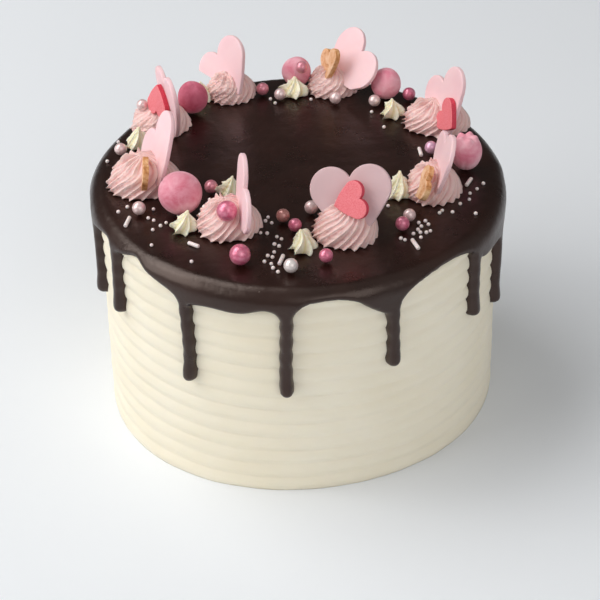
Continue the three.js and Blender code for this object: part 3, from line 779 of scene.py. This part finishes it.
def mark_grooves(piece, depths):
    """Keeps how deep in a groove each corner lies, for the painted shade in the grooves."""
    layer = piece.data.attributes.new("groove_shade", "FLOAT", "POINT")
    layer.data.foreach_set("value", depths)


def frost(piece, depth, size_mm, toward):
    """Roughens piped cream where it faces a direction, and a little elsewhere."""
    out = [Vector(vertex.normal) for vertex in piece.data.vertices]
    for vertex, normal in zip(piece.data.vertices, out):
        x, y, z = vertex.co / MM
        facing = max(0.0, normal.dot(toward))
        rough = wave(x, y, z, size_mm) + 0.6 * wave(x, y, z, size_mm * 0.45)
        vertex.co += normal * (rough * depth * (0.35 + facing) * MM)


SWIRL_PROFILE = [
    (0.94, 0.0), (0.97, 0.03), (0.965, 0.1), (0.95, 0.2), (0.92, 0.31), (0.87, 0.43), (0.8, 0.55),
    (0.7, 0.66), (0.57, 0.76), (0.43, 0.84), (0.29, 0.9), (0.17, 0.95), (0.07, 0.985), (0.02, 1.0),
]
STAR_PROFILE = [
    (0.84, 0.0), (0.97, 0.05), (1.0, 0.14), (0.96, 0.27), (0.84, 0.4), (0.66, 0.52), (0.48, 0.64),
    (0.33, 0.76), (0.19, 0.88), (0.07, 1.0),
]


def swirls():
    # The groove tone is painted shade: the grooves are coloured darker where the ridges shade them
    crest, groove_shade, blush = tone(244, 217, 212), tone(214, 150, 147), tone(235, 194, 190)
    finish = piped_finish("pink_cream", crest, groove_shade, blush)
    for number, form in SWIRLS.items():
        ridges = form["ridges"]
        chance = random.Random(number)
        length = [chance.uniform(-1, 1) for _ in range(ridges)]
        shift = [chance.uniform(-1, 1) for _ in range(ridges)]
        mound = draw_up(ridges * COLUMNS_PER_RIDGE, SWIRL_PROFILE)
        tallest = form["high"]
        firm = SOFT_SHARE if number in SOFT_SWIRLS else 1.0
        depths = []
        for vertex in mound.data.vertices:
            x, y, z = vertex.co
            angle = math.atan2(y, x) % (2 * math.pi)
            distance = math.hypot(x, y)
            phase = angle / (2 * math.pi) * ridges
            ridge = length[int(phase) % ridges]
            bent = 0.12 * shift[int(phase) % ridges] * math.sin(math.pi * (phase % 1.0))
            off = abs(2 * (phase % 1.0 + bent) - 1)
            sweep = SWIRL_SWEEP * z + 9 * wave(x * 2 + number, y * 2, z * 1.5, 1.1)
            side = angle + math.radians(sweep + form["turn"])
            plain = max(0.0, math.cos(side - math.radians(SHALLOW_SIDE))) ** 2
            depth = (GROOVE_DEPTH + FOOT_GROOVE * math.exp(-z / 0.15)) * (1 - 0.45 * plain)
            depth *= firm * (1 + 0.5 * wave(x * 2.3, y * 2.3 + number, z * 2, 1.0))
            edge = math.sqrt(max(0.0, 1 - (1 - off) ** 2))
            spread = 1 - depth * edge * min(1.0, distance * 2.2)
            spread += 0.03 * ridge * (1 - off)
            spread += 0.05 * (1 - off) ** 2 * math.exp(-z / 0.07) * (0.8 + 0.6 * ridge)
            spread *= 1 + 0.07 * wave(x * 1.5 + form["x"], y * 1.5, z * 1.5, 0.9)
            behind = 0.35 + 0.65 * max(0.0, math.cos(side - math.radians(form["crown"])))
            band = math.exp(-(((z - CROWN_LEVEL) / 0.08) ** 2))
            peak = 0.15 * band * behind * (1 - off) ** 1.3 * (0.6 + 0.9 * ridge)
            lump = 0.05 * wave(x * 3, y * 3 + number, z * 3, 1.0) * min(1.0, z * 2)
            reach_x, reach_y = form["wide"] * distance * spread, form["deep"] * distance * spread
            vertex.co.x = (form["x"] + reach_x * math.cos(side) + form["tip"][0] * z * z) * MM
            vertex.co.y = (form["y"] + reach_y * math.sin(side) + form["tip"][1] * z * z) * MM
            vertex.co.z = (CAKE_HEIGHT + tallest * (z * 0.93 + peak + lump)) * MM
            # The painted groove shade at this corner: strongest deep in a groove, patchy, and
            # fainter on the soft swirls
            patchy = 0.75 + 0.4 * wave(x * 3, y * 3, z * 3, 1.0)
            depths.append(min(1.0, firm * off**2.2 * patchy))
        mark_grooves(mound, depths)
        outwards(mound)
        frost(mound, 0.3 / firm, FROST_SIZE, Vector((-0.7, -0.55, 0.45)))
        smooth(mound)
        dress(mound, f"swirl_{number}_cream", [finish], [f"swirl_{number}"])


def stars():
    # The yellower groove tone is painted shade for the grooves between the petals
    crest, groove_shade, blush = tone(250, 246, 226), tone(228, 217, 160), tone(245, 239, 212)
    finish = piped_finish("ivory_cream", crest, groove_shade, blush)
    for number, (turn, tip) in STARS.items():
        low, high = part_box(f"star_{number}")
        centre = (low + high) / 2
        half = (high - low) / 2
        tallest = high.z - low.z
        chance = random.Random(number + 20)
        length = [chance.uniform(-1, 1) for _ in range(STAR_PETALS)]
        dollop = draw_up(STAR_PETALS * COLUMNS_PER_PETAL, STAR_PROFILE)
        depths = []
        for vertex in dollop.data.vertices:
            x, y, z = vertex.co
            angle = math.atan2(y, x) % (2 * math.pi)
            distance = math.hypot(x, y)
            phase = angle / (2 * math.pi) * STAR_PETALS
            petal = length[int(phase) % STAR_PETALS]
            off = abs(2 * (phase % 1.0) - 1)
            lobe = math.sqrt(max(0.0, 1 - (1 - off) ** 1.6))
            spread = 1.04 - 0.44 * lobe * (1 - 0.25 * z) * min(1.0, distance * 2.4)
            spread += 0.14 * (petal - 0.5) * (1 - off) * (1 - z)
            spread *= 1 + 0.1 * wave(x * 2, y * 2 + number, z * 2, 1.0)
            side = angle + math.radians(STAR_SWEEP * z + turn)
            level = z + 0.24 * petal * (1 - off) * math.exp(-(((z - 0.35) / 0.3) ** 2))
            reach_x, reach_y = half.x * distance * spread, half.y * distance * spread
            vertex.co.x = centre.x + reach_x * math.cos(side) + tip[0] * z * z * MM
            vertex.co.y = centre.y + reach_y * math.sin(side) + tip[1] * z * z * MM
            vertex.co.z = low.z + tallest * min(level, 1.0)
            # The painted groove shade at this corner, strongest deep in a groove
            depths.append(off**2 * 0.9)
        mark_grooves(dollop, depths)
        outwards(dollop)
        frost(dollop, 0.26, FROST_SIZE, Vector((-0.6, -0.6, 0.5)))
        smooth(dollop)
        dress(dollop, f"star_{number}_cream", [finish], [f"star_{number}"])


# Heart plates

def heart_outline(width, steps):
    """A heart's outline in mm from its tip round: two round lobes with full sides."""
    lobe_x, lobe_y, lobe = 0.238 * width, 0.655 * width, 0.268 * width
    reach = math.hypot(lobe_x, lobe_y)
    side = math.sqrt(reach * reach - lobe * lobe)
    lean = math.atan2(lobe_y, lobe_x) - math.atan2(lobe, side)
    touch = Vector((side * math.cos(lean), side * math.sin(lean)))
    out = Vector((touch.y, -touch.x)).normalized()
    start = math.atan2(touch.y - lobe_y, touch.x - lobe_x)
    notch = math.acos(-lobe_x / lobe)
    right = []
    for i in range(1, steps):
        share = i / steps
        right.append(touch * share + out * 0.03 * width * math.sin(math.pi * share))
    for i in range(2 * steps + 1):
        angle = start + (notch - start) * i / (2 * steps)
        right.append(Vector((lobe_x + lobe * math.cos(angle), lobe_y + lobe * math.sin(angle))))
    left = [Vector((-p.x, p.y)) for p in reversed(right[:-1])]
    return [Vector((0.0, 0.0)), *right, *left]


def heart_matrix(pose, outline, width):
    """Stands a heart at its place with its turn, lean and roll, its lowest point at its foot."""
    turn, lean, roll = (math.radians(pose[key]) for key in ("turn", "lean", "roll"))
    along = Vector((math.cos(turn), math.sin(turn), 0))
    face = Vector((math.sin(turn), -math.cos(turn), 0))
    up = Vector((0, 0, math.cos(lean))) - face * math.sin(lean)
    normal = along.cross(up)
    across = along * math.cos(roll) + up * math.sin(roll)
    rise = up * math.cos(roll) - along * math.sin(roll)
    lowest = min(p.x * across.z + (p.y - 0.5 * width) * rise.z for p in outline)
    centre = Vector((pose["x"], pose["y"], CAKE_HEIGHT + pose["foot"] - lowest)) * MM
    turned = Matrix((across, rise, normal)).transposed().to_4x4()
    return Matrix.Translation(centre) @ turned


def heart_plate(pose, width, thickness, rounding, warp):
    """A heart plate with rounded rims and a slight warp, in mm; its rim is its second material."""
    outline = heart_outline(width, HEART_STEPS)
    bpy.ops.object.select_all(action="DESELECT")
    bpy.ops.mesh.primitive_circle_add(vertices=len(outline), radius=width / 2, fill_type="NGON")
    plate = bpy.context.object
    middle = Vector((0, 0.5 * width))
    for vertex, point in zip(plate.data.vertices, outline):
        vertex.co = (point.x, point.y - middle.y, -thickness / 2)
    bpy.ops.object.mode_set(mode="EDIT")
    bpy.ops.mesh.select_all(action="SELECT")
    bpy.ops.mesh.normals_make_consistent(inside=False)
    bpy.ops.mesh.extrude_region_move(TRANSFORM_OT_translate={"value": (0, 0, thickness)})
    bpy.ops.mesh.select_all(action="SELECT")
    bpy.ops.mesh.normals_make_consistent(inside=False)
    bpy.ops.object.mode_set(mode="OBJECT")
    apply_modifier(
        plate, "BEVEL", width=rounding, segments=4, limit_method="ANGLE",
        angle_limit=math.radians(60), profile=0.5,
    )
    alone(plate)
    bpy.ops.object.mode_set(mode="EDIT")
    bpy.ops.mesh.select_all(action="DESELECT")
    bpy.ops.object.mode_set(mode="OBJECT")
    for face in plate.data.polygons:
        face.select = abs(face.normal.z) > 0.999 and face.area > 0.2 * width * width
    bpy.ops.object.mode_set(mode="EDIT")
    bpy.ops.mesh.select_mode(type="FACE")
    bpy.ops.mesh.inset(thickness=0.05 * width, depth=0)
    bpy.ops.mesh.quads_convert_to_tris()
    bpy.ops.object.mode_set(mode="OBJECT")
    for face in plate.data.polygons:
        face.material_index = 1 if abs(face.normal.z) < 0.55 else 0
    for vertex in plate.data.vertices:
        x, y, _ = vertex.co
        vertex.co.z += warp * wave(x + pose["x"], y, 0, 0.7 * width)
    plate.matrix_world = heart_matrix(pose, outline, width) @ Matrix.Scale(MM, 4)
    settle(plate)
    if "cut" in pose:
        level = (CAKE_HEIGHT + pose["cut"]) * MM
        alone(plate)
        bpy.ops.object.mode_set(mode="EDIT")
        bpy.ops.mesh.select_all(action="SELECT")
        bpy.ops.mesh.bisect(
            plane_co=(0, 0, level), plane_no=(0, 0, 1), use_fill=True, clear_inner=True
        )
        bpy.ops.object.mode_set(mode="OBJECT")
    smooth(plate, 40)
    return plate


def hearts():
    pink = fondant_finish("rolled_fondant", tone(244, 203, 209), tone(249, 214, 218))
    # Heart 2 gets a greyer copy of the pink fondant: painted shade for the shade this front plate
    # stands in; its own colour is the same pink
    painted_shade_fondant = fondant_finish("rolled_fondant_painted_shade", tone(213, 181, 184), tone(219, 189, 192))
    for number, pose in LARGE_HEARTS.items():
        fondant = painted_shade_fondant if number == 2 else pink
        plate = heart_plate(pose, HEART_WIDTH, HEART_THICKNESS, rounding=0.5, warp=0.45)
        dress(plate, f"heart_{number}", [fondant, fondant], [f"fondant_heart_{number}"])
    coral = coral_finish("coral_sugar", tone(232, 104, 116), tone(246, 146, 152))
    coral_rim = coral_finish("coral_sugar_rim", tone(198, 46, 70), tone(228, 80, 98))
    gold = gold_finish("gold_sugar", tone(188, 116, 66), tone(230, 172, 124), tone(252, 214, 180))
    rim_tones = tone(150, 88, 40), tone(206, 142, 84), tone(244, 200, 150)
    gold_rim = gold_finish("gold_sugar_rim", *rim_tones)
    for name, pose in SMALL_HEARTS.items():
        plate = heart_plate(
            pose, SMALL_HEART_WIDTH, SMALL_HEART_THICKNESS, rounding=0.35, warp=0.2
        )
        if name.startswith("gold"):
            dress(plate, f"{name}_cut", [gold, gold_rim], [name])
        else:
            dress(plate, f"{name}_cut", [coral, coral_rim], [name])


# Balls and pearls

def ball_reach(number, way):
    """How far a ball reaches in a direction: each has its own dents, facets or crown."""
    x, y, z = way
    turn = math.atan2(y, x)
    fall = math.acos(max(-1.0, min(1.0, z)))
    if number == 1:
        crease = way.dot(Vector((0.86, 0.4, 0.3))) + 0.42
        line = math.exp(-((crease / 0.05) ** 2))
        return 1 - 0.035 * line - 0.03 * max(0.0, -crease)
    if number == 2:
        tip = math.exp(-(((1 - way.dot(Vector((-0.25, -0.2, 0.94)))) / 0.06) ** 2))
        return 0.9 + 0.1 * tip + 0.02 * math.cos(3 * turn) * math.sin(fall)
    if number == 3:
        return 1 - 0.04 * abs(math.cos(1.5 * turn)) ** 6 * math.sin(fall)
    if number == 4:
        facet = max(0.0, way.dot(Vector((-0.45, -0.72, 0.53))))
        second = max(0.0, way.dot(Vector((0.8, -0.5, 0.3))))
        return 1 - 0.09 * facet**5 - 0.03 * second**4
    crown = math.exp(-(((fall - 0.55) / 0.22) ** 2)) * (0.05 + 0.075 * math.cos(5 * turn + 0.6))
    slit = math.exp(-(((turn + 1.75) / 0.16) ** 2)) * math.sin(fall)
    return 0.95 + crown - 0.14 * math.exp(-((fall / 0.34) ** 2)) - 0.05 * slit


def balls():
    hot = ball_finish("dusty_pink", tone(214, 110, 132), tone(242, 184, 197))
    deep = ball_finish("dusty_pink_deep", tone(190, 70, 98), tone(222, 122, 146))
    pale = ball_finish("dusty_pink_pale", tone(230, 134, 156), tone(250, 200, 210))
    paints = {1: hot, 2: deep, 3: hot, 4: pale, 5: pale}
    for number, paint in paints.items():
        low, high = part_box(f"pink_ball_{number}")
        bpy.ops.object.select_all(action="DESELECT")
        bpy.ops.mesh.primitive_uv_sphere_add(segments=80, ring_count=48, radius=1.0)
        ball = bpy.context.object
        for vertex in ball.data.vertices:
            way = vertex.co.normalized()
            hand = 1 + 0.015 * wave(way.x * 9, way.y * 9, way.z * 9 + number * 7, 9)
            vertex.co = way * ball_reach(number, way) * hand
        for axis in range(3):
            reach = [vertex.co[axis] for vertex in ball.data.vertices]
            least, most = min(reach), max(reach)
            for vertex in ball.data.vertices:
                share = (vertex.co[axis] - least) / (most - least) * 0.98 + 0.01
                vertex.co[axis] = low[axis] + (high[axis] - low[axis]) * share
        smooth(ball)
        dress(ball, f"ball_{number}", [paint], [f"pink_ball_{number}"])


def pearls():
    tones = {
        "hot": (tone(206, 84, 120), tone(234, 150, 174)),
        "rose": (tone(212, 118, 138), tone(238, 168, 180)),
        "pale": (tone(222, 186, 186), tone(246, 226, 224)),
        "dusty": (tone(176, 112, 108), tone(214, 158, 150)),
        "white": (tone(222, 208, 206), tone(248, 240, 236)),
        "lilac": (tone(218, 158, 190), tone(244, 200, 220)),
    }
    for name, numbers in PEARL_FINISHES.items():
        finish = pearl_finish(f"pearl_{name}", *tones[name])
        for number in numbers:
            low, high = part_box(f"pearl_{number}")
            centre = (low + high) / 2
            radius = (high.z - low.z) / 2
            bpy.ops.object.select_all(action="DESELECT")
            bpy.ops.mesh.primitive_uv_sphere_add(segments=40, ring_count=24, radius=radius * 0.995)
            pearl = bpy.context.object
            for vertex in pearl.data.vertices:
                x, y, z = vertex.co / MM
                dent = 1 + 0.012 * wave(x, y, z + number * 5, 2.5)
                vertex.co = centre + vertex.co * min(dent, 1.0)
            smooth(pearl)
            dress(pearl, f"bead_{number}", [finish], [f"pearl_{number}"])


# Sprinkles

def cap_height(distance):
    """The height of the ganache at a distance from the cake's middle, in mm."""
    beyond = distance - (GANACHE_RADIUS - SHOULDER_RADIUS)
    if beyond <= 0:
        return CAKE_HEIGHT
    return CAKE_HEIGHT - SHOULDER_RADIUS + math.sqrt(SHOULDER_RADIUS**2 - beyond**2)


def sprinkles():
    finish = sugar_finish()
    places = []
    for x, y in NONPAREILS:
        height = cap_height(math.hypot(x, y)) + NONPAREIL_RADIUS * 0.45
        places.append((x, y, height))
    for x, y, up in CAUGHT:
        places.append((x, y, CAKE_HEIGHT + up))
    chance = random.Random(5)
    beads = []
    for x, y, z in places:
        bpy.ops.object.select_all(action="DESELECT")
        size = NONPAREIL_RADIUS * chance.uniform(0.9, 1.03)
        spot = Vector((x, y, z)) * MM
        bpy.ops.mesh.primitive_ico_sphere_add(subdivisions=2, radius=size * MM, location=spot)
        beads.append(bpy.context.object)
    nonpareils = join(beads)
    settle(nonpareils)
    smooth(nonpareils)
    dress(nonpareils, "nonpareils", [finish])
    sticks = []
    for x1, y1, x2, y2 in RODS:
        length = math.hypot(x2 - x1, y2 - y1)
        spot = Vector(((x1 + x2) / 2, (y1 + y2) / 2, CAKE_HEIGHT + ROD_RADIUS * 0.8)) * MM
        bpy.ops.object.select_all(action="DESELECT")
        bpy.ops.mesh.primitive_cylinder_add(
            vertices=14, radius=ROD_RADIUS * MM, depth=length * MM, location=spot,
            rotation=(0, math.pi / 2, math.atan2(y2 - y1, x2 - x1)),
        )
        stick = bpy.context.object
        settle(stick)
        apply_modifier(stick, "BEVEL", width=0.4 * MM, segments=3, limit_method="ANGLE")
        sticks.append(stick)
    rods = join(sticks)
    smooth(rods)
    dress(rods, "sugar_rods", [finish])


# The room: a pale floor, soft light and the camera

def room():
    bpy.ops.object.select_all(action="DESELECT")
    bpy.ops.mesh.primitive_plane_add(size=12)
    floor = bpy.context.object
    floor.name = "floor"
    finish = Finish("pale_floor", 0.6, 0.2)
    patches = finish.noise(900, 2)
    finish.colour(finish.ramp(patches, [(0.3, tone(234, 238, 243)), (0.7, tone(238, 242, 247))]))
    floor.data.materials.append(finish.material)
    for name, light in LIGHTS.items():
        soft_light(name, **light)
    world = bpy.data.worlds.new("studio")
    world.use_nodes = True
    nodes, links = world.node_tree.nodes, world.node_tree.links
    place = nodes.new("ShaderNodeTexCoord")
    parts = nodes.new("ShaderNodeSeparateXYZ")
    fade = nodes.new("ShaderNodeValToRGB")
    fade.color_ramp.elements[0].color = (1.0, 0.99, 0.98, 1)
    fade.color_ramp.elements[0].position = 0.25
    fade.color_ramp.elements[1].color = (0.26, 0.255, 0.25, 1)
    fade.color_ramp.elements[1].position = 0.65
    links.new(place.outputs["Generated"], parts.inputs["Vector"])
    links.new(parts.outputs["Y"], fade.inputs["Fac"])
    links.new(fade.outputs["Color"], nodes["Background"].inputs["Color"])
    nodes["Background"].inputs["Strength"].default_value = 0.37
    bpy.context.scene.world = world
    bpy.context.scene.view_settings.view_transform = "Standard"


def soft_light(name, place, size, power, colour):
    data = bpy.data.lights.new(name, "AREA")
    data.shape = "DISK"
    data.size = size
    data.energy = power
    data.color = colour
    light = bpy.data.objects.new(name, data)
    light.location = place
    aim = Vector((0, 0, 0.1)) - Vector(place)
    light.rotation_euler = aim.to_track_quat("-Z", "Y").to_euler()
    bpy.context.scene.collection.objects.link(light)


def camera():
    """Where the photograph was taken from, fitted to its outline."""
    data = bpy.data.cameras.new("camera")
    data.lens = 102
    data.sensor_width = 36
    eye = bpy.data.objects.new("camera", data)
    right = Vector((0.999823, -0.011019, -0.015267))
    up = Vector((0.018828, 0.587767, 0.808811))
    back = Vector((0.00006, -0.808955, 0.58787))
    turned = Matrix((right, up, back)).transposed().to_4x4()
    eye.matrix_world = Matrix.Translation((0, -0.70404, 0.55523)) @ turned
    bpy.context.scene.collection.objects.link(eye)
    bpy.context.scene.camera = eye


cream_wall()
ganache_skin()
swirls()
stars()
hearts()
balls()
pearls()
sprinkles()
room()
camera()
